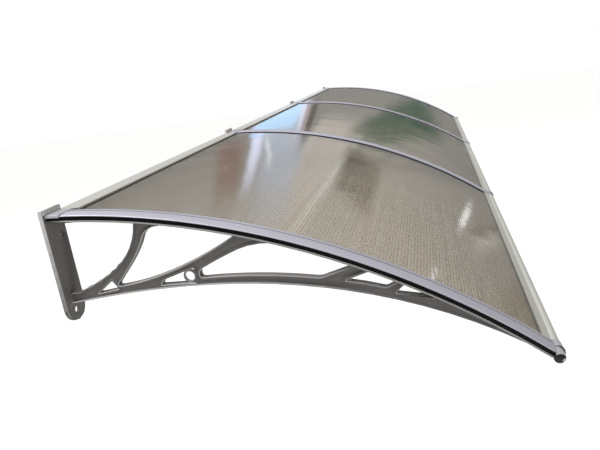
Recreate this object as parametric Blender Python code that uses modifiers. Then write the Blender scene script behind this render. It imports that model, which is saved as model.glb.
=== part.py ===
# A polycarbonate door canopy: curved sheets carried by cast brackets, clamped by cover
# strips over rubber seals, with a slotted aluminium rail along the wall and one along the front.
#
# All sizes are in metres. X runs along the wall, the wall is the plane Y = 0, the canopy
# reaches out towards -Y, and Z is up. The origin is the middle of the middle rear rail's
# back face. Side outlines are drawn as (reach, height): the distance from the wall, and Z.

import math

import bmesh
import bpy
from mathutils import Matrix

# Whole canopy. The roof line is the arc on which the undersides of the cover strips lie.
BAY_COUNT = 3
BAY_LENGTH = 1.000
ARCH_REACH = 0.800
ARCH_DROP = 0.285
ARCH_SAG = 0.066
ROOF_LINE_BELOW_RAIL_TOP = 0.003
ARCH_STEPS = 20
TOUCH_GAP = 0.0003

# Sheets and the rubber seals under their edges
SHEET_THICKNESS = 0.004
SHEET_REAR_CLEARANCE = 0.004
SHEET_SIDE_CLEARANCE = 0.001
SEAL_WIDTH = 0.038
SEAL_BASE_THICKNESS = 0.0011
SEAL_SPINE_WIDTH = 0.005

# Cover strips: an aluminium section with a raised crown, hollow below the crown
STRIP_WIDTH = 0.041
STRIP_FLANGE_THICKNESS = 0.0018
STRIP_CROWN_WIDTH = 0.018
STRIP_CROWN_RISE = 0.0026
STRIP_CROWN_SLOPE = 0.001
STRIP_HOLLOW_WIDTH = 0.014
STRIP_HOLLOW_DEPTH = 0.0024

# Caps over the wall ends of the cover strips
REAR_CAP_LENGTH = 0.026
REAR_CAP_HEIGHT = 0.0052
REAR_CAP_CHAMFER = 0.002

# Wall plate of a bracket, with its two screw holes
PLATE_WIDTH = 0.055
PLATE_THICKNESS = 0.008
PLATE_ABOVE_ROOF_LINE = 0.013
PLATE_BELOW_ROOF_LINE = 0.197
WALL_HOLE_RADIUS = 0.004
UPPER_HOLE_SIDE = 0.014
UPPER_HOLE_DEPTH = 0.037
LOWER_HOLE_DEPTH = 0.177

# Bracket arm: a seat that follows the arch, a strut below it and curved arms between.
# The web is thin, and a rim runs along each of its edges.
SEAT_WIDTH = 0.046
SEAT_THICKNESS = 0.0025
SEAT_RIB_DEPTH = 0.003
SEAT_FRONT_OVERHANG = 0.004
RIM_WIDTH = 0.015
RIM_THICKNESS = 0.004
WEB_THICKNESS = 0.005
STRUT_ROOT_DEPTH = 0.1555
STRUT_REAR_DEPTH = 0.111
STRUT_FRONT_DEPTH = 0.038
STRUT_TIP_DEPTH = 0.006
STRUT_TIP_SHARE = 0.96
WEB_RECESS_END_SHARE = 0.90
WEB_RECESS_START = 0.003
RING_BITE = 0.0013
RING_WALL = 0.0046
RING_WIDTH = 0.0142
SCALLOP_COUNT = 5
SCALLOP_STEPS = 6
SCALLOP_HEIGHT = 0.0014

# Rear rail: a slotted box section that lies against the wall
REAR_RAIL_DEPTH = 0.041
REAR_RAIL_HEIGHT = 0.026
REAR_RAIL_WALL = 0.002
REAR_SLOT_DEPTH = 0.032
REAR_WIPER_WIDTH = 0.003

# Front rail: two lips over the sheet's edge and a round hollow nose
FRONT_LIP_LENGTH = 0.010
FRONT_LIP_THICKNESS = 0.002
FRONT_SLOT_HEIGHT = 0.005
FRONT_STOP_CLEARANCE = 0.0006
NOSE_AHEAD = 0.0139
NOSE_BELOW = 0.003
NOSE_RADIUS = 0.0095
NOSE_BORE_RADIUS = 0.007
NOSE_STEPS = 20
FRONT_WIPER_SIZE = 0.0018

# Front couplers, which join the noses of the rails, and the caps over them
COUPLER_RADIUS = 0.009
COUPLER_CHAMFER = 0.0015
SPIGOT_LENGTH = 0.012
FRONT_CAP_THICKNESS = 0.0026
FRONT_CAP_LIP_ANGLE = 45.0
FRONT_CAP_TOP_ANGLE = 80.0
FRONT_CAP_REAR_ANGLE = 130.0

# Drawing steps for the bracket's outlines
STRAIGHT_STEP = 0.040
CURVE_STEP = 0.018
CURVE_POINTS = 4
LENGTH_SAMPLES = 8
CORNER_STEPS = 2
LARGEST_CORNER_SHARE = 0.45
SHARPEST_MITRE = 1.0
HOLE_STEPS = 12
WELD_DISTANCE = 0.00005
FLAT_ANGLE = math.radians(0.05)

# The openings of a bracket. A side is drawn through its control points, each as a share of
# the arch's reach and a level: 0 under the seat's rib, 1 at the strut's lower edge. The
# last value of a side is the radius of the corner where it meets the next side.
WALL_OPENING = (
    (((-0.003, 0.0), (0.189, 0.0)), 0.002),
    (((0.189, 0.0), (0.178, 0.42), (0.130, 0.74), (0.0225, 0.88)), 0.002),
    (((0.0225, 0.88), (-0.003, 0.87)), 0.0),
    (((-0.003, 0.87), (-0.003, 0.0)), 0.0),
)
REAR_OPENING = (
    (((0.256, 0.0), (0.406, 0.0)), 0.003),
    (((0.406, 0.0), (0.332, 0.59), (0.230, 0.885), (0.116, 0.885)), 0.008),
    (((0.116, 0.885), (0.154, 0.66), (0.187, 0.45), (0.204, 0.178)), 0.0),
    (((0.204, 0.178), (0.209, 0.12), (0.226, 0.028), (0.256, 0.0)), 0.0),
)
MIDDLE_OPENING = (
    (((0.485, 0.0), (0.642, 0.0)), 0.003),
    (((0.642, 0.0), (0.572, 0.705)), 0.008),
    (((0.572, 0.705), (0.500, 0.775), (0.410, 0.820), (0.314, 0.870)), 0.005),
    (((0.314, 0.870), (0.314, 0.735)), 0.005),
    (((0.314, 0.735), (0.345, 0.60), (0.380, 0.44), (0.405, 0.30)), 0.004),
    (((0.405, 0.30), (0.425, 0.20), (0.450, 0.08), (0.485, 0.0)), 0.0),
)
FRONT_OPENING = (
    (((0.672, 0.0), (0.724, 0.0)), 0.0015),
    (((0.724, 0.0), (0.700, 0.52)), 0.004),
    (((0.700, 0.52), (0.619, 0.65)), 0.0025),
    (((0.619, 0.65), (0.672, 0.0)), 0.0015),
)
TIP_OPENING = (
    (((0.736, 0.0), (0.792, 0.07)), 0.001),
    (((0.792, 0.07), (0.716, 0.67)), 0.002),
    (((0.716, 0.67), (0.736, 0.0)), 0.0015),
)
ROOT_TRIANGLE = (
    (((0.068, 0.935), (0.108, 0.795)), 0.002),
    (((0.108, 0.795), (0.121, 0.920)), 0.002),
    (((0.121, 0.920), (0.068, 0.935)), 0.001),
)
RING_OPENING = (
    (((0.222, 0.940), (0.230, 0.865)), 0.001),
    (((0.230, 0.865), (0.303, 0.690)), 0.002),
    (((0.303, 0.690), (0.303, 0.950)), 0.002),
    (((0.303, 0.950), (0.222, 0.940)), 0.001),
)
OPENINGS = (WALL_OPENING, REAR_OPENING, MIDDLE_OPENING, FRONT_OPENING, TIP_OPENING,
            ROOT_TRIANGLE, RING_OPENING)

# Finishes: linear colour, metallic, roughness
CAST_GREY = ((0.115, 0.110, 0.100), 0.35, 0.48)
STRIP_ALUMINIUM = ((0.560, 0.560, 0.620), 0.90, 0.35)
RAIL_ALUMINIUM = ((0.640, 0.670, 0.640), 0.90, 0.32)
BLACK_RUBBER = ((0.012, 0.012, 0.012), 0.0, 0.65)
CAP_GREY = ((0.330, 0.330, 0.350), 0.20, 0.42)
COUPLER_BLACK = ((0.030, 0.031, 0.035), 0.0, 0.38)
BRONZE_SHEET = ((0.330, 0.290, 0.240), 0.0, 0.08)

# Sizes that follow from the ones above
ROOF_LINE_REAR = REAR_RAIL_HEIGHT / 2 - ROOF_LINE_BELOW_RAIL_TOP
SEAT_DEPTH = 3 * TOUCH_GAP + SHEET_THICKNESS + SEAL_BASE_THICKNESS
SEAT_UNDERSIDE = SEAT_DEPTH + SEAT_THICKNESS
RIB_UNDERSIDE = SEAT_UNDERSIDE + SEAT_RIB_DEPTH
SHEET_TOP = -TOUCH_GAP
SHEET_BOTTOM = SHEET_TOP - SHEET_THICKNESS
ARCH_CHORD = math.hypot(ARCH_REACH, ARCH_DROP)
ARCH_RADIUS = (ARCH_CHORD ** 2 / 4 + ARCH_SAG ** 2) / (2 * ARCH_SAG)
ARCH_CENTRE_REACH = PLATE_THICKNESS + ARCH_REACH / 2 - ARCH_DROP / ARCH_CHORD * (ARCH_RADIUS - ARCH_SAG)
ARCH_CENTRE_HEIGHT = ROOF_LINE_REAR - ARCH_DROP / 2 - ARCH_REACH / ARCH_CHORD * (ARCH_RADIUS - ARCH_SAG)
FRONT_ANGLE = math.asin((PLATE_THICKNESS + ARCH_REACH - ARCH_CENTRE_REACH) / ARCH_RADIUS)

# The side view maps an outline's (reach, height) to the world's (-Y, Z), and the front view
# maps (x, height) to (X, Z)
SIDE_VIEW = Matrix(((0, 0, -1, 0), (-1, 0, 0, 0), (0, 1, 0, 0), (0, 0, 0, 1)))
FRONT_VIEW = Matrix(((1, 0, 0, 0), (0, 0, -1, 0), (0, 1, 0, 0), (0, 0, 0, 1)))


def arch_point(angle, offset):
    radius = ARCH_RADIUS + offset
    return (ARCH_CENTRE_REACH + radius * math.sin(angle), ARCH_CENTRE_HEIGHT + radius * math.cos(angle))


def arch_angle(reach):
    return math.asin((reach - ARCH_CENTRE_REACH) / ARCH_RADIUS)


def arch_height(reach, offset):
    return ARCH_CENTRE_HEIGHT + math.sqrt((ARCH_RADIUS + offset) ** 2 - (reach - ARCH_CENTRE_REACH) ** 2)


def front_point(ahead, above):
    # A point by the arch's front end, measured along the roof line and square to it
    reach, height = arch_point(FRONT_ANGLE, 0.0)
    along = (math.cos(FRONT_ANGLE), -math.sin(FRONT_ANGLE))
    square = (math.sin(FRONT_ANGLE), math.cos(FRONT_ANGLE))
    return (reach + along[0] * ahead + square[0] * above, height + along[1] * ahead + square[1] * above)


def bezier(points, t):
    points = [tuple(point) for point in points]
    while len(points) > 1:
        points = [tuple(a + (b - a) * t for a, b in zip(first, second))
                  for first, second in zip(points, points[1:])]
    return points[0]


def strut_height(share):
    t = share / STRUT_TIP_SHARE
    depths = ((STRUT_ROOT_DEPTH,), (STRUT_REAR_DEPTH,), (STRUT_FRONT_DEPTH,), (STRUT_TIP_DEPTH,))
    return arch_height(PLATE_THICKNESS + share * ARCH_REACH, -SEAT_UNDERSIDE) - bezier(depths, t)[0]


def bracket_point(share, level):
    reach = PLATE_THICKNESS + share * ARCH_REACH
    top = arch_height(reach, -RIB_UNDERSIDE)
    return (reach, top + level * (strut_height(share) - top))


def distance(a, b):
    return math.hypot(b[0] - a[0], b[1] - a[1])


def side_length(points):
    samples = [bracket_point(*bezier(points, i / LENGTH_SAMPLES)) for i in range(LENGTH_SAMPLES + 1)]
    return sum(distance(a, b) for a, b in zip(samples, samples[1:]))


def scalloped_side(points, start, end):
    # Plain over its upper half, then a row of small rounded bumps that stand into the opening
    middle = (start + end) / 2
    outline = plain_side(points, start, middle)
    steps = SCALLOP_COUNT * SCALLOP_STEPS
    for i in range(1, steps + 1):
        t = middle + (end - middle) * i / steps
        here = bracket_point(*bezier(points, t))
        before = outline[-1]
        length = distance(before, here)
        rise = SCALLOP_HEIGHT * math.sin(math.pi * i / SCALLOP_STEPS) ** 2
        outline.append((here[0] + (here[1] - before[1]) / length * rise,
                        here[1] - (here[0] - before[0]) / length * rise))
    return outline


def plain_side(points, start, end):
    step = CURVE_STEP if len(points) == CURVE_POINTS else STRAIGHT_STEP
    steps = max(1, round(side_length(points) * (end - start) / step))
    return [bracket_point(*bezier(points, start + (end - start) * i / steps)) for i in range(steps + 1)]


def opening_outline(sides, scalloped=False):
    outline = []
    for index, (points, radius) in enumerate(sides):
        length = side_length(points)
        start = min(sides[index - 1][1] / length, LARGEST_CORNER_SHARE)
        end = 1 - min(radius / length, LARGEST_CORNER_SHARE)
        if scalloped and len(points) == CURVE_POINTS:
            outline += scalloped_side(points, start, end)
        else:
            outline += plain_side(points, start, end)
        corner = bracket_point(*points[-1])
        following, _ = sides[(index + 1) % len(sides)]
        onward = min(radius / side_length(following), LARGEST_CORNER_SHARE)
        away = bracket_point(*bezier(following, onward))
        for i in range(1, CORNER_STEPS):
            if radius > 0:
                outline.append(bezier((outline_end(points, end), corner, away), i / CORNER_STEPS))
    return without_repeats(outline)


def outline_end(points, end):
    return bracket_point(*bezier(points, end))


def without_repeats(outline):
    kept = []
    for point in outline:
        if not kept or distance(point, kept[-1]) > TOUCH_GAP:
            kept.append(point)
    if distance(kept[0], kept[-1]) <= TOUCH_GAP:
        kept.pop()
    return kept


def signed_area(outline):
    pairs = zip(outline, outline[1:] + outline[:1])
    return sum(a[0] * b[1] - b[0] * a[1] for a, b in pairs) / 2


def grown(outline, amount):
    # The outline moved outwards by the same amount all round
    side = 1 if signed_area(outline) > 0 else -1
    moved = []
    for index, here in enumerate(outline):
        before = outline[index - 1]
        after = outline[(index + 1) % len(outline)]
        lengths = (distance(before, here), distance(here, after))
        first = ((here[1] - before[1]) / lengths[0], -(here[0] - before[0]) / lengths[0])
        second = ((after[1] - here[1]) / lengths[1], -(after[0] - here[0]) / lengths[1])
        both = (first[0] + second[0], first[1] + second[1])
        mitre = max(1 + first[0] * second[0] + first[1] * second[1], SHARPEST_MITRE)
        moved.append((here[0] + both[0] * side * amount / mitre, here[1] + both[1] * side * amount / mitre))
    return moved


def arc(centre, radius, start, end, steps):
    points = []
    for i in range(steps + 1):
        angle = math.radians(start + (end - start) * i / steps)
        points.append((centre[0] + radius * math.cos(angle), centre[1] + radius * math.sin(angle)))
    return points


def circle(centre, radius, steps):
    return arc(centre, radius, 0, 360, steps)[:-1]


def tidy_mesh(mesh):
    # Joins the loose caps of a curve, and flat neighbouring faces into one
    bm = bmesh.new()
    bm.from_mesh(mesh)
    bmesh.ops.remove_doubles(bm, verts=bm.verts, dist=WELD_DISTANCE)
    bmesh.ops.dissolve_limit(bm, angle_limit=FLAT_ANGLE, verts=bm.verts, edges=bm.edges)
    bmesh.ops.recalc_face_normals(bm, faces=bm.faces)
    bm.to_mesh(mesh)
    bm.free()


def evaluated_mesh(thing):
    bpy.context.view_layer.update()
    depsgraph = bpy.context.evaluated_depsgraph_get()
    return bpy.data.meshes.new_from_object(thing.evaluated_get(depsgraph))


def link_to(collection, thing):
    collection.objects.link(thing)
    return thing


def prism(name, loops, thickness, view, collection, place=0.0):
    # A flat outline with its holes, given a thickness on both sides of the plane at place
    curve = bpy.data.curves.new(name, "CURVE")
    curve.dimensions = "2D"
    curve.fill_mode = "BOTH"
    curve.extrude = thickness / 2
    for loop in loops:
        spline = curve.splines.new("POLY")
        spline.points.add(len(loop) - 1)
        for point, (x, y) in zip(spline.points, loop):
            point.co = (x, y, 0, 1)
        spline.use_cyclic_u = True
    drawn = link_to(collection, bpy.data.objects.new(name + "_curve", curve))
    mesh = evaluated_mesh(drawn)
    bpy.data.objects.remove(drawn)
    tidy_mesh(mesh)
    mesh.transform(Matrix.Translation((0, 0, place)))
    mesh.transform(view)
    return link_to(collection, bpy.data.objects.new(name, mesh))


def arch_sweep(name, profile, start, end, collection):
    # A closed profile of (x, offset from the roof line), swept along the arch between two angles
    steps = max(2, round(ARCH_STEPS * (end - start) * ARCH_RADIUS / ARCH_CHORD))
    bm = bmesh.new()
    verts = []
    for x, offset in profile:
        reach, height = arch_point(start, offset)
        verts.append(bm.verts.new((x, -reach, height)))
    bm.faces.new(verts)
    bmesh.ops.spin(bm, geom=bm.verts[:] + bm.edges[:] + bm.faces[:],
                   cent=(0, -ARCH_CENTRE_REACH, ARCH_CENTRE_HEIGHT), axis=(1, 0, 0),
                   angle=end - start, steps=steps)
    bmesh.ops.recalc_face_normals(bm, faces=bm.faces)
    mesh = bpy.data.meshes.new(name)
    bm.to_mesh(mesh)
    bm.free()
    return link_to(collection, bpy.data.objects.new(name, mesh))


def block(left, right, bottom, top):
    return ((left, bottom), (right, bottom), (right, top), (left, top))


def combine(target, cutter, operation):
    modifier = target.modifiers.new(operation.lower(), "BOOLEAN")
    modifier.object = cutter
    modifier.operation = operation
    modifier.solver = "EXACT"
    mesh = evaluated_mesh(target)
    tidy_mesh(mesh)
    target.modifiers.remove(modifier)
    target.data = mesh
    bpy.data.objects.remove(cutter)


def paint(thing, finish):
    colour, metallic, roughness = finish
    material = bpy.data.materials.new(thing.name)
    material.use_nodes = True
    shader = material.node_tree.nodes["Principled BSDF"]
    shader.inputs["Base Color"].default_value = (*colour, 1)
    shader.inputs["Metallic"].default_value = metallic
    shader.inputs["Roughness"].default_value = roughness
    thing.data.materials.clear()
    thing.data.materials.append(material)


def bracket_x(index):
    return (index - BAY_COUNT / 2) * BAY_LENGTH


def placed(name, mesh, x, finish, canopy):
    thing = link_to(canopy, bpy.data.objects.new(name, mesh.copy()))
    thing.location.x = x
    paint(thing, finish)
    return thing


# Brackets


def plate_outline():
    half = PLATE_WIDTH / 2
    top = ROOF_LINE_REAR + PLATE_ABOVE_ROOF_LINE
    round_centre = ROOF_LINE_REAR - PLATE_BELOW_ROOF_LINE + half
    return [(half, top), (-half, top)] + arc((0, round_centre), half, 180, 360, HOLE_STEPS)


def wall_plate(cutters):
    holes = [circle((UPPER_HOLE_SIDE, ROOF_LINE_REAR - UPPER_HOLE_DEPTH), WALL_HOLE_RADIUS, HOLE_STEPS),
             circle((0, ROOF_LINE_REAR - LOWER_HOLE_DEPTH), WALL_HOLE_RADIUS, HOLE_STEPS)]
    return prism("wall_plate", [plate_outline()] + holes, PLATE_THICKNESS, FRONT_VIEW, cutters,
                 PLATE_THICKNESS / 2)


def seat(cutters):
    half = SEAT_WIDTH / 2
    profile = block(-half, half, -SEAT_UNDERSIDE, -SEAT_DEPTH)
    return arch_sweep("seat", profile, arch_angle(PLATE_THICKNESS / 2),
                      FRONT_ANGLE + SEAT_FRONT_OVERHANG / ARCH_RADIUS, cutters)


def arm_outline():
    # From inside the wall plate along the strut's lower edge to the tip, and back inside the seat
    middle = -(SEAT_DEPTH + SEAT_THICKNESS / 2)
    steps = ARCH_STEPS
    lower = [bracket_point(STRUT_TIP_SHARE * i / steps, 1.0) for i in range(steps + 1)]
    tip_reach = lower[-1][0] + 2 * SEAT_THICKNESS
    upper = []
    for i in range(steps + 1):
        reach = tip_reach + (PLATE_THICKNESS / 2 - tip_reach) * i / steps
        upper.append((reach, arch_height(reach, middle)))
    return [(PLATE_THICKNESS / 2, lower[0][1])] + lower + upper


def recess_outline():
    # The part of the web between the strut's rim and the seat's rib
    first = WEB_RECESS_START / ARCH_REACH
    last = WEB_RECESS_END_SHARE
    shares = [first + (last - first) * i / ARCH_STEPS for i in range(ARCH_STEPS + 1)]
    lower = [(x, z + RIM_THICKNESS) for x, z in (bracket_point(share, 1.0) for share in shares)]
    upper = [bracket_point(share, 0.0) for share in reversed(shares)]
    return lower + upper


def web_recess(side, cutters):
    # One side's recess: the whole web area, less the rims round the openings
    depth = RIM_WIDTH - WEB_THICKNESS
    middle = side * (WEB_THICKNESS / 2 + depth / 2)
    recess = prism("web_recess", [recess_outline()], depth, SIDE_VIEW, cutters, middle)
    for opening in OPENINGS:
        rim = prism("rim", [grown(opening_outline(opening), RIM_THICKNESS)], 2 * depth, SIDE_VIEW,
                    cutters, middle)
        combine(recess, rim, "DIFFERENCE")
    return recess


def crossing(a, b, c, d):
    # Where the line through a and b meets the line through c and d
    across = (b[0] - a[0]) * (d[1] - c[1]) - (b[1] - a[1]) * (d[0] - c[0])
    t = ((c[0] - a[0]) * (d[1] - c[1]) - (c[1] - a[1]) * (d[0] - c[0])) / across
    return (a[0] + (b[0] - a[0]) * t, a[1] + (b[1] - a[1]) * t)


def ring_loops():
    # A cast ring that bites into the upper, front and lower sides of its wedge-shaped opening
    lower, upper, top, bottom = [bracket_point(*points[0]) for points, _ in RING_OPENING]
    corners = [crossing(upper, top, bottom, lower), top, bottom]
    opposite = [distance(corners[i - 2], corners[i - 1]) for i in range(3)]
    around = sum(opposite)
    centre = tuple(sum(w * corner[axis] for w, corner in zip(opposite, corners)) / around for axis in (0, 1))
    outer = 2 * abs(signed_area(corners)) / around + RING_BITE
    return [circle(centre, outer, HOLE_STEPS), circle(centre, outer - RING_WALL, HOLE_STEPS)]


def bracket_mesh(cutters):
    loops = [arm_outline()] + [opening_outline(opening) for opening in OPENINGS[1:]]
    arm = prism("arm", loops, RIM_WIDTH, SIDE_VIEW, cutters)
    wall_opening = prism("wall_opening", [opening_outline(WALL_OPENING, True)], 2 * RIM_WIDTH, SIDE_VIEW,
                         cutters)
    combine(arm, wall_opening, "DIFFERENCE")
    ring = prism("ring", ring_loops(), RING_WIDTH, SIDE_VIEW, cutters)
    combine(arm, ring, "UNION")
    for side in (-1, 1):
        combine(arm, web_recess(side, cutters), "DIFFERENCE")
    combine(arm, seat(cutters), "UNION")
    combine(arm, wall_plate(cutters), "UNION")
    mesh = arm.data
    tidy_mesh(mesh)
    bpy.data.objects.remove(arm)
    return mesh


def build_brackets(canopy, cutters):
    mesh = bracket_mesh(cutters)
    for index in range(BAY_COUNT + 1):
        placed(f"bracket_{index + 1}", mesh, bracket_x(index), CAST_GREY, canopy)


# Seals, strips and rear caps, which follow the arch over each bracket


def seal_profile(index):
    # A flat base with a spine between two sheets. At an end bracket the rubber fills the open side.
    half = SEAL_WIDTH / 2
    left = half if index == 0 else SEAL_SPINE_WIDTH / 2
    right = half if index == BAY_COUNT else SEAL_SPINE_WIDTH / 2
    base_bottom = -SEAT_DEPTH + TOUCH_GAP
    base_top = base_bottom + SEAL_BASE_THICKNESS
    profile = [(-half, base_bottom), (half, base_bottom)]
    if right < half:
        profile += [(half, base_top), (right, base_top)]
    profile += [(right, SHEET_TOP), (-left, SHEET_TOP)]
    if left < half:
        profile += [(-left, base_top), (-half, base_top)]
    return profile


def strip_profile():
    half = STRIP_WIDTH / 2
    crown = STRIP_CROWN_WIDTH / 2
    hollow = STRIP_HOLLOW_WIDTH / 2
    top = STRIP_FLANGE_THICKNESS + STRIP_CROWN_RISE
    right = [(hollow, 0.0), (half, 0.0), (half, STRIP_FLANGE_THICKNESS),
             (crown + STRIP_CROWN_SLOPE, STRIP_FLANGE_THICKNESS), (crown, top)]
    left = [(-x, offset) for x, offset in reversed(right)]
    return [(-hollow, STRIP_HOLLOW_DEPTH), (hollow, STRIP_HOLLOW_DEPTH)] + right + left


def rear_cap_profile():
    half = SEAT_WIDTH / 2
    shoulder = REAR_CAP_HEIGHT - REAR_CAP_CHAMFER
    inner = half - REAR_CAP_CHAMFER
    return [(-half, 0), (half, 0), (half, shoulder), (inner, REAR_CAP_HEIGHT),
            (-inner, REAR_CAP_HEIGHT), (-half, shoulder)]


def build_over_brackets(canopy, cutters):
    cap_start = arch_angle(PLATE_THICKNESS + TOUCH_GAP)
    cap_end = arch_angle(PLATE_THICKNESS + REAR_CAP_LENGTH)
    strip_start = arch_angle(PLATE_THICKNESS + REAR_CAP_LENGTH + TOUCH_GAP)
    for index in range(BAY_COUNT + 1):
        pieces = (("seal", seal_profile(index), cap_start, FRONT_ANGLE, BLACK_RUBBER),
                  ("cover_strip", strip_profile(), strip_start, FRONT_ANGLE, STRIP_ALUMINIUM),
                  ("rear_cap", rear_cap_profile(), cap_start, cap_end, CAP_GREY))
        for name, profile, start, end, finish in pieces:
            swept = arch_sweep(name, profile, start, end, cutters)
            placed(f"{name}_{index + 1}", swept.data, bracket_x(index), finish, canopy)
            bpy.data.objects.remove(swept)


# Sheets


def build_sheets(canopy, cutters):
    margin = SEAL_SPINE_WIDTH / 2 + SHEET_SIDE_CLEARANCE
    half = BAY_LENGTH / 2 - margin
    start = arch_angle(PLATE_THICKNESS + SHEET_REAR_CLEARANCE)
    sheet = arch_sweep("sheet", block(-half, half, SHEET_BOTTOM, SHEET_TOP), start, FRONT_ANGLE, cutters)
    for index in range(BAY_COUNT):
        placed(f"sheet_{index + 1}", sheet.data, bracket_x(index + 0.5), BRONZE_SHEET, canopy)
    bpy.data.objects.remove(sheet)


# Rails and their wipers, one for each bay


def rear_rail_loops():
    top = REAR_RAIL_HEIGHT / 2
    wall = REAR_RAIL_WALL
    front = REAR_RAIL_DEPTH
    floor = arch_height(front, SHEET_BOTTOM) - TOUCH_GAP
    back = front - REAR_SLOT_DEPTH
    outer = [(0, -top), (front, -top), (front, floor), (back, floor), (back, top - wall),
             (front, top - wall), (front, top), (0, top)]
    chamber = [(wall, wall - top), (front - wall, wall - top), (front - wall, floor - wall),
               (wall, floor - wall)]
    return [outer, chamber]


def rear_wiper_outline():
    front = REAR_RAIL_DEPTH
    back = front - REAR_WIPER_WIDTH
    top = REAR_RAIL_HEIGHT / 2 - REAR_RAIL_WALL - TOUCH_GAP
    return [(back, arch_height(back, 0.0)), (front, arch_height(front, 0.0)), (front, top), (back, top)]


def front_rail_loops():
    nose = front_point(NOSE_AHEAD, -NOSE_BELOW)
    turn = -math.degrees(FRONT_ANGLE)
    lip_top = FRONT_LIP_THICKNESS
    lip_bottom = -FRONT_SLOT_HEIGHT - FRONT_LIP_THICKNESS
    upper = math.degrees(math.asin((lip_top + NOSE_BELOW) / NOSE_RADIUS))
    lower = math.degrees(math.asin((lip_bottom + NOSE_BELOW) / NOSE_RADIUS))
    nose_arc = arc(nose, NOSE_RADIUS, 180 - upper + turn, lower - 180 + turn, NOSE_STEPS)
    inner = -FRONT_LIP_LENGTH
    stop = FRONT_STOP_CLEARANCE
    outer = [front_point(inner, 0.0), front_point(inner, lip_top)] + nose_arc
    outer += [front_point(inner, lip_bottom), front_point(inner, -FRONT_SLOT_HEIGHT),
              front_point(stop, -FRONT_SLOT_HEIGHT), front_point(stop, 0.0)]
    return [outer, circle(nose, NOSE_BORE_RADIUS, NOSE_STEPS)]


def front_wiper_outline():
    front = -FRONT_LIP_LENGTH - TOUCH_GAP
    back = front - FRONT_WIPER_SIZE
    return [front_point(back, 0), front_point(front, 0), front_point(front, FRONT_WIPER_SIZE),
            front_point(back, FRONT_WIPER_SIZE)]


def build_rails(canopy, cutters):
    rear_length = BAY_LENGTH - PLATE_WIDTH - 2 * TOUCH_GAP
    front_length = BAY_LENGTH - SEAT_WIDTH - 2 * TOUCH_GAP
    pieces = (("rear_rail", rear_rail_loops(), rear_length, RAIL_ALUMINIUM),
              ("rear_wiper", [rear_wiper_outline()], rear_length, BLACK_RUBBER),
              ("front_rail", front_rail_loops(), front_length, RAIL_ALUMINIUM),
              ("front_wiper", [front_wiper_outline()], front_length, BLACK_RUBBER))
    for name, loops, length, finish in pieces:
        bar = prism(name, loops, length, SIDE_VIEW, cutters)
        for index in range(BAY_COUNT):
            placed(f"{name}_{index + 1}", bar.data, bracket_x(index + 0.5), finish, canopy)
        bpy.data.objects.remove(bar)


# Front couplers and front caps


def coupler_profile(index):
    # Half the section along X: a chamfered barrel, with a spigot towards each rail
    half = SEAT_WIDTH / 2
    spigot = NOSE_BORE_RADIUS - TOUCH_GAP
    barrel = COUPLER_RADIUS - COUPLER_CHAMFER
    profile = []
    if index > 0:
        profile += [(-half - SPIGOT_LENGTH, 0), (-half - SPIGOT_LENGTH, spigot), (-half, spigot)]
    else:
        profile += [(-half, 0)]
    profile += [(-half, barrel), (-half + COUPLER_CHAMFER, COUPLER_RADIUS),
                (half - COUPLER_CHAMFER, COUPLER_RADIUS), (half, barrel)]
    if index < BAY_COUNT:
        profile += [(half, spigot), (half + SPIGOT_LENGTH, spigot), (half + SPIGOT_LENGTH, 0)]
    else:
        profile += [(half, 0)]
    return profile


def turned_mesh(name, profile, collection):
    # A profile of (x, radius), turned about the X axis
    mesh = bpy.data.meshes.new(name)
    mesh.from_pydata([(x, 0, radius) for x, radius in profile],
                     [(i, i + 1) for i in range(len(profile) - 1)], [])
    thing = link_to(collection, bpy.data.objects.new(name, mesh))
    screw = thing.modifiers.new("turn", "SCREW")
    screw.axis = "X"
    screw.steps = NOSE_STEPS
    screw.render_steps = NOSE_STEPS
    screw.use_merge_vertices = True
    screw.merge_threshold = WELD_DISTANCE
    turned = evaluated_mesh(thing)
    bpy.data.objects.remove(thing)
    tidy_mesh(turned)
    return turned


def front_cap_outline():
    nose = front_point(NOSE_AHEAD, -NOSE_BELOW)
    inner = COUPLER_RADIUS + TOUCH_GAP
    outer = inner + FRONT_CAP_THICKNESS
    strip_top = STRIP_FLANGE_THICKNESS + STRIP_CROWN_RISE
    outline = [front_point(TOUCH_GAP, 0), front_point(TOUCH_GAP, strip_top)]
    outline += arc(nose, outer, FRONT_CAP_TOP_ANGLE, FRONT_CAP_LIP_ANGLE, NOSE_STEPS // 4)
    outline += arc(nose, inner, FRONT_CAP_LIP_ANGLE, FRONT_CAP_REAR_ANGLE, NOSE_STEPS // 2)
    return outline


def build_front_ends(canopy, cutters):
    nose_reach, nose_height = front_point(NOSE_AHEAD, -NOSE_BELOW)
    cap = prism("front_cap", [front_cap_outline()], SEAT_WIDTH, SIDE_VIEW, cutters)
    for index in range(BAY_COUNT + 1):
        name = f"front_coupler_{index + 1}"
        coupler = placed(name, turned_mesh(name, coupler_profile(index), cutters), bracket_x(index),
                         COUPLER_BLACK, canopy)
        coupler.location.y = -nose_reach
        coupler.location.z = nose_height
        placed(f"front_cap_{index + 1}", cap.data, bracket_x(index), CAP_GREY, canopy)
    bpy.data.objects.remove(cap)


def main():
    for thing in list(bpy.data.objects):
        bpy.data.objects.remove(thing)
    canopy = bpy.data.collections.new("polycarbonate_door_canopy")
    cutters = bpy.data.collections.new("cutters")
    for collection in (canopy, cutters):
        bpy.context.scene.collection.children.link(collection)
    build_brackets(canopy, cutters)
    build_over_brackets(canopy, cutters)
    build_sheets(canopy, cutters)
    build_rails(canopy, cutters)
    build_front_ends(canopy, cutters)


main()
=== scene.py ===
import math

import bmesh
import bpy
from mathutils import Matrix, Vector
from mathutils.bvhtree import BVHTree


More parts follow.
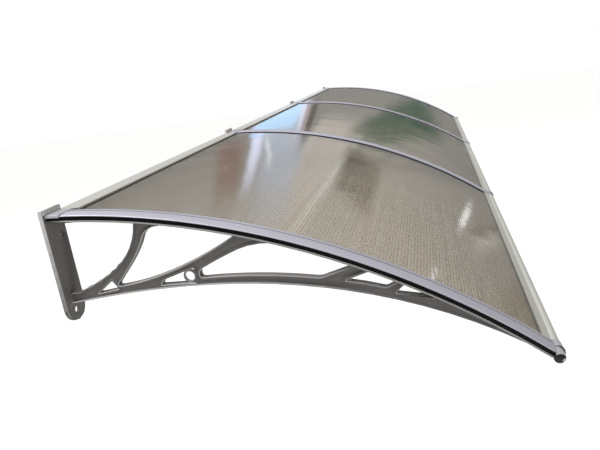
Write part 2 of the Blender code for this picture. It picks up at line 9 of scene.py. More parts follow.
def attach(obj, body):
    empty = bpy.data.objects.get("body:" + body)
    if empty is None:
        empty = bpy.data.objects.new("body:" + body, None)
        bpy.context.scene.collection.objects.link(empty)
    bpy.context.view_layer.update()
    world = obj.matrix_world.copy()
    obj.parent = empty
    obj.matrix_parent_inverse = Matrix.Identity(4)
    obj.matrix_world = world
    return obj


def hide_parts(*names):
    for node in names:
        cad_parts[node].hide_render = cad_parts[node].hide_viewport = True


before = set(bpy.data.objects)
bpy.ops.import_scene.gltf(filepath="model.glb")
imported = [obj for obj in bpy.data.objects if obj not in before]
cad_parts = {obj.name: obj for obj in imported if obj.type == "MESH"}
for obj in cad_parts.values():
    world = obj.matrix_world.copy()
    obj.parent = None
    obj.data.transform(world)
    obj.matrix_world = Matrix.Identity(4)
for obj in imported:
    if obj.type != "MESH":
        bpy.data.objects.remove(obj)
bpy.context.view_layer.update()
print("stage: frame loaded,", len(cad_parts), "nodes")

# The arch that the whole canopy follows, in metres, with the values of the CAD part
arch = {"bayLength": 1.000, "bayCount": 3, "reach": 0.800, "drop": 0.285, "sag": 0.066,
        "plateThickness": 0.008, "plateWidth": 0.055, "roofLineRear": 0.010, "seatWidth": 0.046,
        "touchGap": 0.0003, "sheetThickness": 0.004, "seatDepth": 0.006}
archChord = math.hypot(arch["reach"], arch["drop"])
archRadius = (archChord ** 2 / 4 + arch["sag"] ** 2) / (2 * arch["sag"])
towardsCentre = archRadius - arch["sag"]
centreReach = arch["plateThickness"] + arch["reach"] / 2 - arch["drop"] / archChord * towardsCentre
centreHeight = arch["roofLineRear"] - arch["drop"] / 2 - arch["reach"] / archChord * towardsCentre
frontAngle = math.asin((arch["plateThickness"] + arch["reach"] - centreReach) / archRadius)
seatHalf = arch["seatWidth"] / 2
bracketPlaces = [(i - arch["bayCount"] / 2) * arch["bayLength"] for i in range(arch["bayCount"] + 1)]
bayPlaces = [(i + 0.5 - arch["bayCount"] / 2) * arch["bayLength"] for i in range(arch["bayCount"])]

# How near points are to count as one point, as the same place, and as close by
merged, same, close = 0.00001, 0.0001, 0.0003


def archAngle(reach):
    return math.asin((reach - centreReach) / archRadius)


def archHeight(reach, offset):
    return centreHeight + math.sqrt((archRadius + offset) ** 2 - (reach - centreReach) ** 2)


def archOffset(point):
    return math.hypot(-point.y - centreReach, point.z - centreHeight) - archRadius


def frontPoint(ahead, above):
    # Measured from the arch's front end, along the roof line and square to it
    reach = centreReach + archRadius * math.sin(frontAngle)
    height = centreHeight + archRadius * math.cos(frontAngle)
    return (reach + math.cos(frontAngle) * ahead + math.sin(frontAngle) * above,
            height - math.sin(frontAngle) * ahead + math.cos(frontAngle) * above)


# Small tools

def blend(first, last, share):
    return first + (last - first) * share


def linearColour(hexValue):
    # sRGB hex to linear colour
    channels = []
    for place in (1, 3, 5):
        value = int(hexValue[place:place + 2], 16) / 255
        channels.append(value / 12.92 if value <= 0.04045 else ((value + 0.055) / 1.055) ** 2.4)
    return (*channels, 1.0)


def addNode(tree, kind, settings=None, inputs=()):
    # Settings may be just an operation. An input is a value, a socket, or a node for its first output
    node = tree.nodes.new(kind)
    if isinstance(settings, str):
        settings = {"operation": settings}
    for key, value in (settings or {}).items():
        setattr(node, key, value)
    for key, value in inputs.items() if isinstance(inputs, dict) else enumerate(inputs):
        if isinstance(value, bpy.types.Node):
            value = value.outputs[0]
        if isinstance(value, bpy.types.NodeSocket):
            tree.links.new(value, node.inputs[key])
        else:
            node.inputs[key].default_value = value
    return node


def roundedLoop(corners, steps=3):
    # Corners are (x, y, radius), and a rounding takes up less than half of each side
    loop = []
    for index, (x, y, radius) in enumerate(corners):
        if radius == 0:
            loop.append((x, y))
            continue
        here = Vector((x, y))
        before = Vector(corners[index - 1][:2]) - here
        after = Vector(corners[(index + 1) % len(corners)][:2]) - here
        half = before.angle(after) / 2
        back = min(radius / math.tan(half), before.length * 0.48, after.length * 0.48)
        first = here + before.normalized() * back
        last = here + after.normalized() * back
        for i in range(steps + 1):
            t = i / steps
            point = first * (1 - t) ** 2 + here * 2 * t * (1 - t) + last * t ** 2
            loop.append((point.x, point.y))
    return loop


def circleLoop(centre, radius, start, end, steps):
    points = []
    for i in range(steps + 1):
        angle = math.radians(start + (end - start) * i / max(steps, 1))
        points.append((centre[0] + radius * math.cos(angle), centre[1] + radius * math.sin(angle)))
    return points


def finishMesh(mesh, sharpFrom=32):
    # Merged seams, outward faces, soft shading between sharp edges
    build = bmesh.new()
    build.from_mesh(mesh)
    bmesh.ops.remove_doubles(build, verts=build.verts, dist=merged)
    bmesh.ops.recalc_face_normals(build, faces=build.faces)
    build.to_mesh(mesh)
    build.free()
    mesh.shade_smooth()
    mesh.set_sharp_from_angle(angle=math.radians(sharpFrom))


def newPiece(name, mesh, *materials):
    mesh.name = name
    piece = bpy.data.objects.new(name, mesh)
    bpy.context.scene.collection.objects.link(piece)
    for material in materials:
        mesh.materials.append(material)
    return piece


def dress(piece, node):
    # Rides on the part's one body and stands for a node
    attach(piece, "root")
    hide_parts(node)


def loopMesh(loops):
    # Closed loops of edges, which the node trees fill or sweep
    mesh = bpy.data.meshes.new("section")
    points, edges = [], []
    for loop in loops:
        first = len(points)
        points += [(x, y, 0) for x, y in loop]
        edges += [(first + i, first + (i + 1) % len(loop)) for i in range(len(loop))]
    mesh.from_pydata(points, edges, [])
    return mesh


def grownFrom(name, tree, values, mesh=None):
    # Runs a node tree on a section and keeps the plain mesh
    mesh = mesh or bpy.data.meshes.new(name)
    base = bpy.data.objects.new(name + "Section", mesh)
    bpy.context.scene.collection.objects.link(base)
    modifier = base.modifiers.new("grow", "NODES")
    modifier.node_group = tree
    for item in tree.interface.items_tree:
        if item.in_out == "INPUT" and item.name in values:
            modifier[item.identifier] = values[item.name]
    bpy.context.view_layer.update()
    result = bpy.data.meshes.new_from_object(base.evaluated_get(bpy.context.evaluated_depsgraph_get()))
    bpy.data.objects.remove(base)
    return result


# Node trees that grow the canopy's main pieces

def newTree(name, sockets):
    tree = bpy.data.node_groups.new(name, "GeometryNodeTree")
    tree.interface.new_socket("Geometry", in_out="INPUT", socket_type="NodeSocketGeometry")
    for socket, kind, default in sockets:
        made = tree.interface.new_socket(socket, in_out="INPUT", socket_type="NodeSocket" + kind)
        if default is not None:
            made.default_value = default
    tree.interface.new_socket("Geometry", in_out="OUTPUT", socket_type="NodeSocketGeometry")
    return tree, tree.nodes.new("NodeGroupInput").outputs


def closeTree(tree, geometry, material):
    real = addNode(tree, "GeometryNodeRealizeInstances", inputs=(geometry,))
    painted = addNode(tree, "GeometryNodeSetMaterial", inputs={"Geometry": real, "Material": material})
    addNode(tree, "NodeGroupOutput", inputs=(painted,))


def archPositions(tree, given, angle, offset, place):
    # A point on the arch: x, minus the reach, and the height
    radius = addNode(tree, "ShaderNodeMath", "ADD", (given["Radius"], offset))
    reach, height = (addNode(tree, "ShaderNodeMath", "MULTIPLY_ADD", (
        addNode(tree, "ShaderNodeMath", turn, (angle,)), radius, given[centre]))
        for turn, centre in (("SINE", "Centre Reach"), ("COSINE", "Centre Height")))
    back = addNode(tree, "ShaderNodeMath", "MULTIPLY", (reach, -1.0))
    return addNode(tree, "ShaderNodeCombineXYZ", inputs=(place, back, height))


def drawnOut(tree, section, offset):
    # A flat section drawn out to a closed body
    drawn = addNode(tree, "GeometryNodeExtrudeMesh", inputs={
        "Mesh": section, "Offset": offset, "Individual": False})
    back = addNode(tree, "GeometryNodeFlipFaces", inputs={"Mesh": section})
    both = addNode(tree, "GeometryNodeJoinGeometry", inputs=(drawn,))
    tree.links.new(back.outputs[0], both.inputs[0])
    return addNode(tree, "GeometryNodeMergeByDistance", inputs={"Geometry": both, "Distance": merged})


archSockets = (("Radius", "Float", archRadius), ("Centre Reach", "Float", centreReach),
               ("Centre Height", "Float", centreHeight))


def archSweepTree():
    # Sweeps a section of (x, offset) along the arch between two angles
    tree, given = newTree("archSweep", archSockets + (
        ("Start Angle", "Float", 0.0), ("End Angle", "Float", 0.5), ("Steps", "Int", 48),
        ("Place", "Float", 0.0), ("Material", "Material", None)))
    line = addNode(tree, "GeometryNodeCurvePrimitiveLine")
    path = addNode(tree, "GeometryNodeResampleCurve", inputs={"Curve": line, "Count": given["Steps"]})
    last = addNode(tree, "ShaderNodeMath", "SUBTRACT", (given["Steps"], 1))
    share = addNode(tree, "ShaderNodeMath", "DIVIDE", (addNode(tree, "GeometryNodeInputIndex"), last))
    sweep = addNode(tree, "ShaderNodeMath", "SUBTRACT", (given["End Angle"], given["Start Angle"]))
    angle = addNode(tree, "ShaderNodeMath", "MULTIPLY_ADD", (share, sweep, given["Start Angle"]))
    bent = addNode(tree, "GeometryNodeSetPosition", inputs={
        "Geometry": path, "Position": archPositions(tree, given, angle, 0.0, given["Place"])})
    upright = addNode(tree, "GeometryNodeSetCurveNormal", {"mode": "Z_UP"}, {"Curve": bent})
    section = addNode(tree, "GeometryNodeMeshToCurve", inputs={"Mesh": given["Geometry"]})
    swept = addNode(tree, "GeometryNodeCurveToMesh", inputs={
        "Curve": upright, "Profile Curve": section, "Fill Caps": True})
    closeTree(tree, swept, given["Material"])
    return tree


def wallSweepTree():
    # Fills a section of (reach, height), holes and all, and draws it out along the wall
    tree, given = newTree("wallSweep", (("Start", "Float", 0.0), ("Length", "Float", 1.0),
                                        ("Material", "Material", None)))
    section = addNode(tree, "GeometryNodeMeshToCurve", inputs={"Mesh": given["Geometry"]})
    filled = addNode(tree, "GeometryNodeFillCurve", inputs={"Curve": section})
    whole = drawnOut(tree, filled, addNode(tree, "ShaderNodeCombineXYZ", inputs={2: given["Length"]}))
    place = addNode(tree, "GeometryNodeInputPosition")
    parts = addNode(tree, "ShaderNodeSeparateXYZ", inputs=(place,)).outputs
    laid = addNode(tree, "ShaderNodeCombineXYZ", inputs=(
        addNode(tree, "ShaderNodeMath", "ADD", (parts[2], given["Start"])),
        addNode(tree, "ShaderNodeMath", "MULTIPLY", (parts[0], -1.0)), parts[1]))
    turned = addNode(tree, "GeometryNodeSetPosition", inputs={"Geometry": whole, "Position": laid})
    closeTree(tree, turned, given["Material"])
    return tree


def splitIndex(tree, number, size):
    # The whole part of number / size, and what is left over
    shifted = addNode(tree, "ShaderNodeMath", "ADD", (number, 0.5))
    share = addNode(tree, "ShaderNodeMath", "DIVIDE", (shifted, size))
    whole = addNode(tree, "ShaderNodeMath", "FLOOR", (share,))
    full = addNode(tree, "ShaderNodeMath", "MULTIPLY", (whole, size))
    return whole, addNode(tree, "ShaderNodeMath", "SUBTRACT", (number, full))


def multiwallTree():
    # A curved twin-wall sheet: two skins with a rib between them every flute, drawn out along the wall
    tree, given = newTree("multiwallSheet", archSockets + (
        ("Start Angle", "Float", 0.0), ("Pitch Angle", "Float", 0.004), ("Rib Angle", "Float", 0.0003),
        ("Flutes", "Int", 100), ("Top", "Float", 0.0), ("Thickness", "Float", 0.004),
        ("Skin", "Float", 0.0004), ("Sink", "Float", 0.00003), ("Start", "Float", 0.0),
        ("Length", "Float", 1.0), ("Material", "Material", None)))
    across = addNode(tree, "ShaderNodeMath", "MULTIPLY_ADD", (given["Flutes"], 3, 2))
    grid = addNode(tree, "GeometryNodeMeshGrid", inputs={"Vertices X": across, "Vertices Y": 4})
    index = addNode(tree, "GeometryNodeInputIndex")
    column, row = splitIndex(tree, index, 4)
    flute, step = splitIndex(tree, column, 3)
    # Steps 0 and 1 are the two sides of a rib, and step 2 is the middle of the channel
    reached = addNode(tree, "ShaderNodeMath", "MINIMUM", (step, 1.0))
    beyond = addNode(tree, "ShaderNodeMath", "SUBTRACT", (step, 1.0))
    middle = addNode(tree, "ShaderNodeMath", "MAXIMUM", (beyond, 0.0))
    pastRib = addNode(tree, "ShaderNodeMath", "MULTIPLY", (reached, given["Rib Angle"]))
    channel = addNode(tree, "ShaderNodeMath", "SUBTRACT", (given["Pitch Angle"], given["Rib Angle"]))
    halfChannel = addNode(tree, "ShaderNodeMath", "MULTIPLY", (channel, 0.5))
    into = addNode(tree, "ShaderNodeMath", "MULTIPLY_ADD", (middle, halfChannel, pastRib))
    along = addNode(tree, "ShaderNodeMath", "MULTIPLY_ADD", (flute, given["Pitch Angle"], into))
    angle = addNode(tree, "ShaderNodeMath", "ADD", (along, given["Start Angle"]))
    # Rows 0 to 3 are the underside, the two inner faces and the top
    upper = addNode(tree, "ShaderNodeMath", "GREATER_THAN", (row, 1.5))
    inner = addNode(tree, "ShaderNodeMath", "COMPARE", (row, 1.5, 0.6))
    side = addNode(tree, "ShaderNodeMath", "MULTIPLY_ADD", (upper, 2.0, -1.0))
    halfway = addNode(tree, "ShaderNodeMath", "MULTIPLY", (given["Thickness"], 0.5))
    skinned = addNode(tree, "ShaderNodeMath", "MULTIPLY", (inner, given["Skin"]))
    sunk = addNode(tree, "ShaderNodeMath", "MULTIPLY_ADD", (middle, given["Sink"], skinned))
    outward = addNode(tree, "ShaderNodeMath", "SUBTRACT", (halfway, sunk))
    centre = addNode(tree, "ShaderNodeMath", "SUBTRACT", (given["Top"], halfway))
    offset = addNode(tree, "ShaderNodeMath", "MULTIPLY_ADD", (side, outward, centre))
    bent = addNode(tree, "GeometryNodeSetPosition", inputs={
        "Geometry": grid, "Position": archPositions(tree, given, angle, offset, given["Start"])})
    # Full on the ribs and none in the middle of a channel, for the tint
    onRib = addNode(tree, "ShaderNodeMath", "SUBTRACT", (1.0, middle))
    ribbed = addNode(tree, "GeometryNodeStoreNamedAttribute", {"data_type": "FLOAT"}, {
        "Geometry": bent, "Name": "rib", "Value": onRib})
    # The faces of each channel are taken out, and the rest is drawn out
    strip, layer = splitIndex(tree, index, 3)
    isCore = addNode(tree, "ShaderNodeMath", "COMPARE", (layer, 1.0, 0.1))
    isChannel = addNode(tree, "ShaderNodeMath", "GREATER_THAN", (splitIndex(tree, strip, 3)[1], 0.5))
    section = addNode(tree, "GeometryNodeDeleteGeometry", {"domain": "FACE"}, {
        "Geometry": ribbed, "Selection": addNode(tree, "ShaderNodeMath", "MULTIPLY", (isCore, isChannel))})
    whole = drawnOut(tree, section, addNode(tree, "ShaderNodeCombineXYZ", inputs=(given["Length"],)))
    closeTree(tree, whole, given["Material"])
    return tree


alongArch = archSweepTree()
alongWall = wallSweepTree()
multiwall = multiwallTree()
print("stage: node trees built")


# Materials. The sizes of their patterns are in millimetres

def newMaterial(name, colour, roughness, metallic=0.0):
    material = bpy.data.materials.new(name)
    material.use_nodes = True
    tree = material.node_tree
    shader = tree.nodes["Principled BSDF"]
    shader.inputs["Base Color"].default_value = linearColour(colour)
    shader.inputs["Roughness"].default_value = roughness
    shader.inputs["Metallic"].default_value = metallic
    return material, tree, shader, addNode(tree, "ShaderNodeTexCoord").outputs["Object"]


def finishSurface(tree, shader, shade, tints, relief, rough=None):
    # One pattern mixes two tints, and others give the relief and the roughness
    mixed = addNode(tree, "ShaderNodeMix", {"data_type": "RGBA"}, {0: shade, 6: tints[0], 7: tints[1]})
    tree.links.new(mixed.outputs[2], shader.inputs["Base Color"])
    pattern, strength, depth = relief
    bump = addNode(tree, "ShaderNodeBump", inputs={"Height": pattern, "Strength": strength, "Distance": depth})
    tree.links.new(bump.outputs[0], shader.inputs["Normal"])
    if rough:
        pattern, least, most = rough
        spread = addNode(tree, "ShaderNodeMapRange", inputs={"Value": pattern, "To Min": least, "To Max": most})
        tree.links.new(spread.outputs[0], shader.inputs["Roughness"])


def castMaterial():
    # Powder-coated aluminium die casting: satin, faint orange peel, with a painted highlight that turns lit edges
    # and flats pale
    look = {"colour": "#4e4a48", "dark": "#474442", "light": "#53504e", "highlit": "#cfcdcc", "roughness": 0.42,
            "least": 0.36, "most": 0.5, "peel": 2.381, "peelDepth": 0.0002, "cloud": 45.45}
    material, tree, shader, place = newMaterial("powderCoatedCasting", look["colour"], look["roughness"])
    peel, cloud = (addNode(tree, "ShaderNodeTexNoise", inputs={
        "Vector": place, "Scale": 1000 / look[size], "Detail": detail})
        for size, detail in (("peel", 3.0), ("cloud", 4.0)))
    coat = addNode(tree, "ShaderNodeMix", {"data_type": "RGBA"}, {
        0: cloud, 6: linearColour(look["dark"]), 7: linearColour(look["light"])}).outputs[2]
    # The painted highlight attribute mixes the coat towards a pale grey on faces that face the light
    highlight = addNode(tree, "ShaderNodeAttribute", {"attribute_name": "paintedHighlight"}).outputs["Fac"]
    finishSurface(tree, shader, highlight, (coat, linearColour(look["highlit"])), (peel, 0.25, look["peelDepth"]),
                  (cloud, look["least"], look["most"]))
    return material


def anodisedMaterial(name, colour, darker, roughness, lines):
    # Extruded aluminium, silver anodised: satin metal with die lines along its length. They are drawn over
    # 1 mm apart, coarser than the real 0.2 mm, so that they show
    material, tree, shader, place = newMaterial(name, colour, roughness, 1.0)
    stretch = addNode(tree, "ShaderNodeMapping", inputs={
        "Vector": place, "Scale": [1000 / size for size in lines]})
    drawn = addNode(tree, "ShaderNodeTexNoise", inputs={"Vector": stretch, "Scale": 1.0, "Detail": 3.0})
    finishSurface(tree, shader, drawn, (linearColour(darker), linearColour(colour)), (drawn, 0.15, 0.0001),
                  (drawn, roughness - 0.05, roughness + 0.08))
    return material


def mouldedMaterial(name, colour, lighter, roughness, grain, depth, gloss=0.5):
    # Moulded plastic or rubber: a little variation in colour, and a fine even grain, which is drawn over
    # 1 mm wide, coarser than the real 0.1 mm, so that it shows
    material, tree, shader, place = newMaterial(name, colour, roughness)
    shader.inputs["Specular IOR Level"].default_value = gloss
    cloudSize = 28.57
    fine, cloud = (addNode(tree, "ShaderNodeTexNoise", inputs={
        "Vector": place, "Scale": 1000 / size, "Detail": detail})
        for size, detail in ((grain, 2.0), (cloudSize, 3.0)))
    finishSurface(tree, shader, cloud, (linearColour(colour), linearColour(lighter)), (fine, 0.2, depth),
                  (fine, roughness - 0.05, roughness + 0.05))
    return material


def polycarbonateMaterial():
    # Extruded bronze polycarbonate: clear tinted plastic with glossy, slightly wavy skins. The tint is deeper
    # along the ribs, and streaks run along them
    look = {"colour": "#c7c1b6", "clear": "#d1cbc0", "deep": "#b8b2a7", "roughness": 0.06, "ior": 1.58,
            "streaks": (666.67, 7.6923, 7.6923), "wave": 111.11, "waveDepth": 0.002}
    material, tree, shader, place = newMaterial("bronzePolycarbonate", look["colour"], look["roughness"])
    shader.inputs["IOR"].default_value = look["ior"]
    shader.inputs["Transmission Weight"].default_value = 1.0
    stretch = addNode(tree, "ShaderNodeMapping", inputs={
        "Vector": place, "Scale": [1000 / size for size in look["streaks"]]})
    streaks, wave = (addNode(tree, "ShaderNodeTexNoise", inputs={"Vector": pattern, "Scale": scale, "Detail": 2.0})
                     for pattern, scale in ((stretch, 1.0), (place, 1000 / look["wave"])))
    rib = addNode(tree, "ShaderNodeAttribute", {"attribute_name": "rib"}).outputs["Fac"]
    strong = addNode(tree, "ShaderNodeMath", "MULTIPLY", (streaks, 2.0))
    deep = addNode(tree, "ShaderNodeMath", "MULTIPLY", (rib, strong))
    finishSurface(tree, shader, deep, (linearColour(look["clear"]), linearColour(look["deep"])),
                  (wave, 0.2, look["waveDepth"]))
    return material


casting = castMaterial()
stripFinish = anodisedMaterial("silverAnodisedStrip", "#cecdd8", "#bfbec9", 0.5, (1.1111, 166.67, 166.67))
railFinish = anodisedMaterial("silverAnodisedRail", "#eeeee8", "#e0e0db", 0.38, (250.0, 1.42857, 1.42857))
rubber = mouldedMaterial("blackEpdmRubber", "#060606", "#0b0b0b", 0.8, 1.1111, 0.0001, 0.15)
capPlastic = mouldedMaterial("greyAbsCap", "#8a898d", "#959498", 0.4, 1.42857, 0.00005)
knobPlastic = mouldedMaterial("blackNylonPlug", "#121315", "#1a1b1e", 0.22, 2.0, 0.00005)
bronze = polycarbonateMaterial()
softRubber = mouldedMaterial("greyWiperRubber", "#63625b", "#706f68", 0.6, 1.1111, 0.0001)
print("stage: materials made")


# Brackets: the castings' own solids with rounded edges

bracketLook = {"edgeRadius": 0.0007, "edgeSteps": 2, "roundFrom": 28, "sharpFrom": 40, "flatBelow": 0.6,
               "rimHalf": 0.0075, "cadWeb": 0.0025, "web": 0.0062, "lowerRim": 0.0034, "lowerRimIn": 0.0008,
               "rimFrom": 0.012, "tabFrom": 0.0155, "holeRadius": 0.004, "halfPlate": 0.004,
               "plateFront": 0.0085, "pastPlate": 0.009, "seatLower": 0.0022, "sideFoot": -0.16, "sideCuts": 8}
# Screw holes: place beside the middle, height, and how much they widen to the front and to the back
screwHoles = ((0.014, -0.027, 1.75, 0.9), (0.0, -0.167, 1.5, 2.4))
castRing = {"reach": 0.23892, "height": -0.11854, "bore": 0.00818, "outer": 0.01278, "cadHalf": 0.0071,
            "half": 0.003, "newBore": 0.0088, "newOuter": 0.0118}
# How much painted highlight each place gets, from 0 to 1, and the reaches between which the lower rim's painted
# highlight fades
bracketHighlight = {"seatRear": 0.8, "seatFront": 0.3, "seatLower": 0.12, "plateSideTop": 0.55,
               "plateSideFoot": 0.1, "plateEdge": 0.25, "tab": 0.5, "topWall": 0.4, "edge": 0.55,
               "lowerRim": 0.42, "fadeFrom": 0.36, "fadeTo": 0.56}


def reshapeBracket(build, x):
    # A shallow web, a slim cast ring, and screw holes that widen to the front and to the back
    for vert in build.verts:
        beside, reach, height = vert.co.x - x, -vert.co.y, vert.co.z
        if abs(abs(beside) - bracketLook["cadWeb"]) < 2 * same:
            vert.co.x = x + math.copysign(bracketLook["web"], beside)
        if abs(abs(beside) - castRing["cadHalf"]) < same:
            vert.co.x = x + math.copysign(castRing["half"], beside)
            ahead, above = reach - castRing["reach"], height - castRing["height"]
            for old, new in (("bore", "newBore"), ("outer", "newOuter")):
                if abs(math.hypot(ahead, above) - castRing[old]) < same:
                    grow = castRing[new] / castRing[old]
                    vert.co.y = -castRing["reach"] - ahead * grow
                    vert.co.z = castRing["height"] + above * grow
        for place, middle, front, back in screwHoles:
            out = math.hypot(beside - place, height - middle)
            if out < bracketLook["holeRadius"] + close and reach < bracketLook["plateFront"]:
                widen = front if reach > bracketLook["halfPlate"] else back
                vert.co.x = x + place + (beside - place) * widen
                vert.co.z = middle + (height - middle) * widen


def facesSide(face):
    return abs(face.normal.x) > 0.9


def onPlateSide(face, x):
    return facesSide(face) and abs(abs(face.calc_center_median().x - x) - arch["plateWidth"] / 2) < close


def onUnderside(edge):
    # Between a face that looks to the side and one that looks down
    faces = edge.link_faces
    return any(facesSide(face) for face in faces) and any(face.normal.z < -0.5 for face in faces)


def paintLitFlats(build, highlight, x):
    # Painted highlights on flats that face the light: the seat's side faces, paler at the rear, the plate's sides,
    # paler at the top, the top tab, and walls that face upwards
    top, foot = bracketLook["tabFrom"], bracketLook["sideFoot"]
    bmesh.ops.bisect_plane(build, geom=build.verts[:] + build.edges[:] + build.faces[:], dist=merged,
                           plane_co=(0, 0, top), plane_no=(0, 0, 1))
    build.normal_update()
    for cut in range(1, bracketLook["sideCuts"]):
        sides = [face for face in build.faces if onPlateSide(face, x)]
        around = {part for face in sides for part in (*face.verts, *face.edges)}
        bmesh.ops.bisect_plane(build, geom=sides + list(around), dist=merged, plane_no=(0, 0, 1),
                               plane_co=(0, 0, blend(top, foot, cut / bracketLook["sideCuts"])))
    build.normal_update()
    for face in build.faces:
        centre = face.calc_center_median()
        if facesSide(face) and abs(abs(centre.x - x) - seatHalf) < close:
            share = min(-centre.y / arch["reach"], 1.0)
            face[highlight] = blend(bracketHighlight["seatRear"], bracketHighlight["seatFront"], share)
        if onPlateSide(face, x):
            share = (top - centre.z) / (top - foot)
            face[highlight] = blend(bracketHighlight["plateSideTop"], bracketHighlight["plateSideFoot"], share)
        if centre.z > top:
            face[highlight] = bracketHighlight["tab"]
        elif face.normal.z > 0.4 and -centre.y > bracketLook["pastPlate"]:
            face[highlight] = bracketHighlight["topWall"]


def facetLowerRim(build, highlight, x):
    # The strut's lower rim leans in a little and gets a painted highlight that fades towards the front
    tree = BVHTree.FromBMesh(build)
    rimHalf = bracketLook["rimHalf"]
    lower = []
    for edge in build.edges:
        middle = (edge.verts[0].co + edge.verts[1].co) / 2
        onRim = abs(abs(middle.x - x) - rimHalf) < same and -middle.y > bracketLook["rimFrom"]
        if onRim and onUnderside(edge):
            below = Vector((x, middle.y, middle.z - 0.002))
            if tree.ray_cast(below, Vector((0, 0, -1)))[0] is None:
                lower.append(edge)
    made = bmesh.ops.bevel(build, geom=lower, offset=bracketLook["lowerRim"], segments=1, affect="EDGES",
                           clamp_overlap=False)
    for face in made["faces"]:
        past = -face.calc_center_median().y - bracketHighlight["fadeFrom"]
        share = past / (bracketHighlight["fadeTo"] - bracketHighlight["fadeFrom"])
        face[highlight] = bracketHighlight["lowerRim"] * (1 - min(max(share, 0.0), 1.0))
    for vert in {vert for face in made["faces"] for vert in face.verts}:
        if abs(vert.co.x - x) < rimHalf - 0.001:
            vert.co.x = x + math.copysign(rimHalf - bracketLook["lowerRimIn"], vert.co.x - x)


def roundSeat(build, highlight, x):
    # The seat's lower edges are well rounded, with a faint painted highlight
    lower = [edge for edge in build.edges if len(edge.link_faces) == 2 and onUnderside(edge) and
             all(-vert.co.y > bracketLook["pastPlate"] and abs(abs(vert.co.x - x) - seatHalf) < same
                 for vert in edge.verts)]
    made = bmesh.ops.bevel(build, geom=lower, offset=bracketLook["seatLower"], segments=2, profile=0.5,
                           affect="EDGES", clamp_overlap=False)
    for face in made["faces"]:
        face[highlight] = bracketHighlight["seatLower"]


def onWeb(edge, x):
    # The short step between a rim and the web stays sharp
    return any(all(bracketLook["web"] - same < abs(vert.co.x - x) < bracketLook["rimHalf"] + same
                   for vert in face.verts) and abs(face.normal.x) < 0.5 and
               len({vert.co.x > x for vert in face.verts}) == 1 for face in edge.link_faces)


def paintLitEdges(faces, highlight, x):
    # Painted highlights on rounded edges where the wall beside the edge faces forwards or upwards, and on the
    # plate's edges
    for face in faces:
        centre, normal = face.calc_center_median(), face.normal
        outward = abs(centre.x - x)
        if outward > seatHalf + 0.001:
            face[highlight] = bracketHighlight["plateEdge"]
        elif outward > seatHalf - 0.003 or -centre.y < bracketLook["plateFront"]:
            face[highlight] = 0.0
        elif outward < bracketLook["rimHalf"] + same:
            along = math.hypot(normal.y, normal.z)
            facing = along > 0.1 and (-normal.y / along > 0.15 or normal.z / along > 0.5)
            face[highlight] = bracketHighlight["edge"] if facing else 0.0


def roundedCopy(node, radius, steps, roundFrom, x=None):
    # A merged copy of a CAD node with rounded edges, and a bracket's reshaping and painted highlights where x is
    # given
    build = bmesh.new()
    build.from_mesh(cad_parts[node].data)
    flat = math.radians(bracketLook["flatBelow"])
    bmesh.ops.remove_doubles(build, verts=build.verts, dist=merged)
    bmesh.ops.dissolve_limit(build, angle_limit=flat, verts=build.verts, edges=build.edges)
    # Painted highlight per face, from 0 to 1: lit edges and flats are drawn paler
    highlight = build.faces.layers.float.new("paintedHighlight")
    if x is not None:
        paintLitFlats(build, highlight, x)
        facetLowerRim(build, highlight, x)
        roundSeat(build, highlight, x)
        reshapeBracket(build, x)
        build.normal_update()
    sharp = [edge for edge in build.edges
             if len(edge.link_faces) == 2 and edge.calc_face_angle(0) > math.radians(roundFrom) and
             (x is None or not onWeb(edge, x))]
    made = bmesh.ops.bevel(build, geom=sharp, offset=radius, segments=steps, profile=0.5, affect="EDGES",
                           clamp_overlap=x is None)
    build.normal_update()
    if x is not None:
        paintLitEdges(made["faces"], highlight, x)
    bmesh.ops.recalc_face_normals(build, faces=build.faces)
    if build.calc_volume(signed=True) < 0:
        bmesh.ops.reverse_faces(build, faces=build.faces)
    mesh = bpy.data.meshes.new(node + "Rounded")
    build.to_mesh(mesh)
    build.free()
    mesh.shade_smooth()
    mesh.set_sharp_from_angle(angle=math.radians(bracketLook["sharpFrom"]))
    return mesh


for number, x in enumerate(bracketPlaces, 1):
    node = f"bracket_{number}"
    mesh = roundedCopy(node, bracketLook["edgeRadius"], bracketLook["edgeSteps"], bracketLook["roundFrom"], x)
    dress(newPiece(f"castBracket{number}", mesh, casting), node)
print("stage: brackets rounded")


# Cover strips, seals and rear caps, which follow the arch over each bracket

coverStrip = {"width": 0.041, "height": 0.0044, "domeRise": 0.0014, "edge": 0.0008, "hollow": 0.014,
              "hollowDepth": 0.0024, "seamAt": 0.0062, "seamWidth": 0.0022, "seamDepth": 0.0003, "lip": 0.0015,
              "pastSeat": 0.0044, "steps": 64}
# Where the dome's points lie across the strip, in millimetres, on the two sides of the seam
domeSpots = ((17, 14, 12), (3, 0, -3, -6, -9, -12, -14, -17))
seal = {"width": 0.038, "base": 0.0011, "spine": 0.005, "edge": 0.0004}
rearCap = {"length": 0.026, "height": 0.0052, "edge": 0.0022, "edgeSteps": 5, "foot": 0.0003, "steps": 6}


def alongTheArch(name, loop, x, start, end, steps, *materials):
    # A curve's section is carried upside down along the arch, so it is turned half round first
    mesh = grownFrom(name, alongArch, {"Start Angle": start, "End Angle": end, "Steps": steps, "Place": x,
                                       "Material": materials[0]}, loopMesh([[(-a, -b) for a, b in loop]]))
    finishMesh(mesh)
    return newPiece(name, mesh, *materials[1:])


